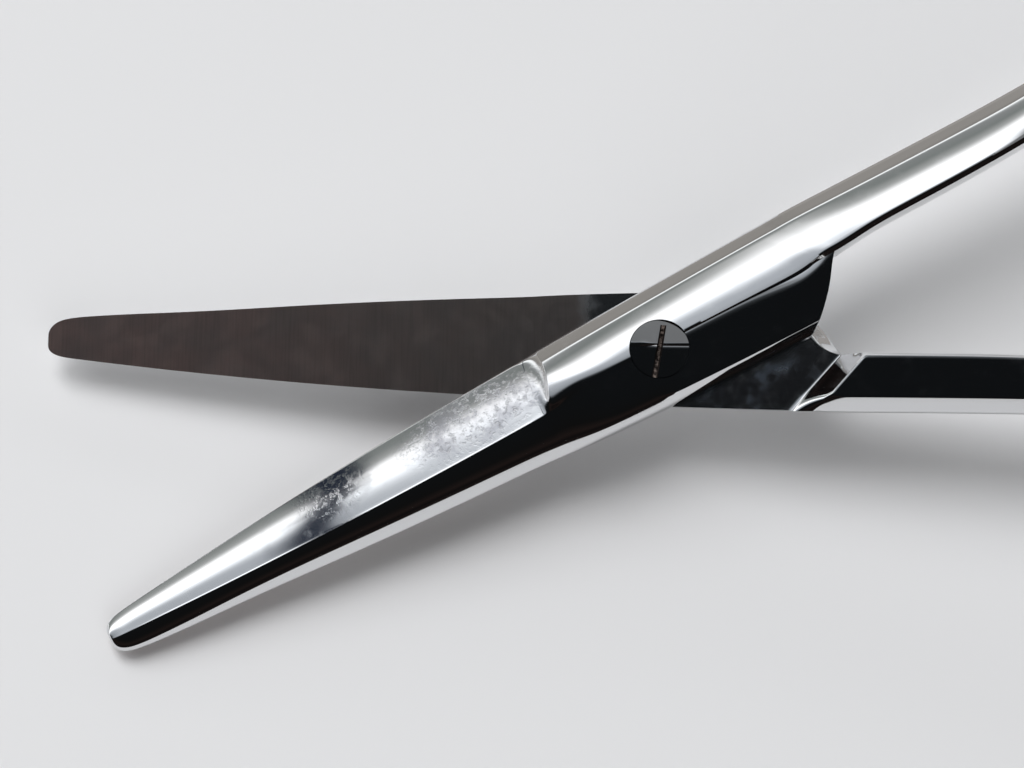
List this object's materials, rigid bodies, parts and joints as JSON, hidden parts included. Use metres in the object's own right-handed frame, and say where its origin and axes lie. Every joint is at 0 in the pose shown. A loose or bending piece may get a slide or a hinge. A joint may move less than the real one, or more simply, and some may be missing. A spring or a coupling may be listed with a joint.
{
  "type": "dissecting scissors",
  "caption": "Heavy straight dissecting scissors with blunt tips, a bevelled blade on each half, a slotted joint screw and oval finger rings.",
  "frame": {"origin": "on the joint screw's axis, in the plane where the two flat inner faces lap", "axes": "+X along the rear half towards its finger ring, +Z along the joint's axis out of the screw's head, +Y towards the front half's finger ring"},
  "size_m": [0.1695, 0.1015, 0.0066],
  "materials": {
    "front_steel": "mirror polished stainless steel",
    "rear_steel": "mirror polished stainless steel, its blade's inner face satin ground",
    "screw_steel": "polished stainless steel, ground flush with the joint"
  },
  "bodies": {
    "rear": {"rear_half": "rear_steel", "pivot_screw": "screw_steel"},
    "front": {"front_half": "front_steel"}
  },
  "joints": [
    {"name": "pivot", "type": "hinge", "parent": "rear", "child": "front", "pos_m": [0, 0, 0], "axis": [0, 0, 1], "range_deg": [-28, 62]}
  ]
}
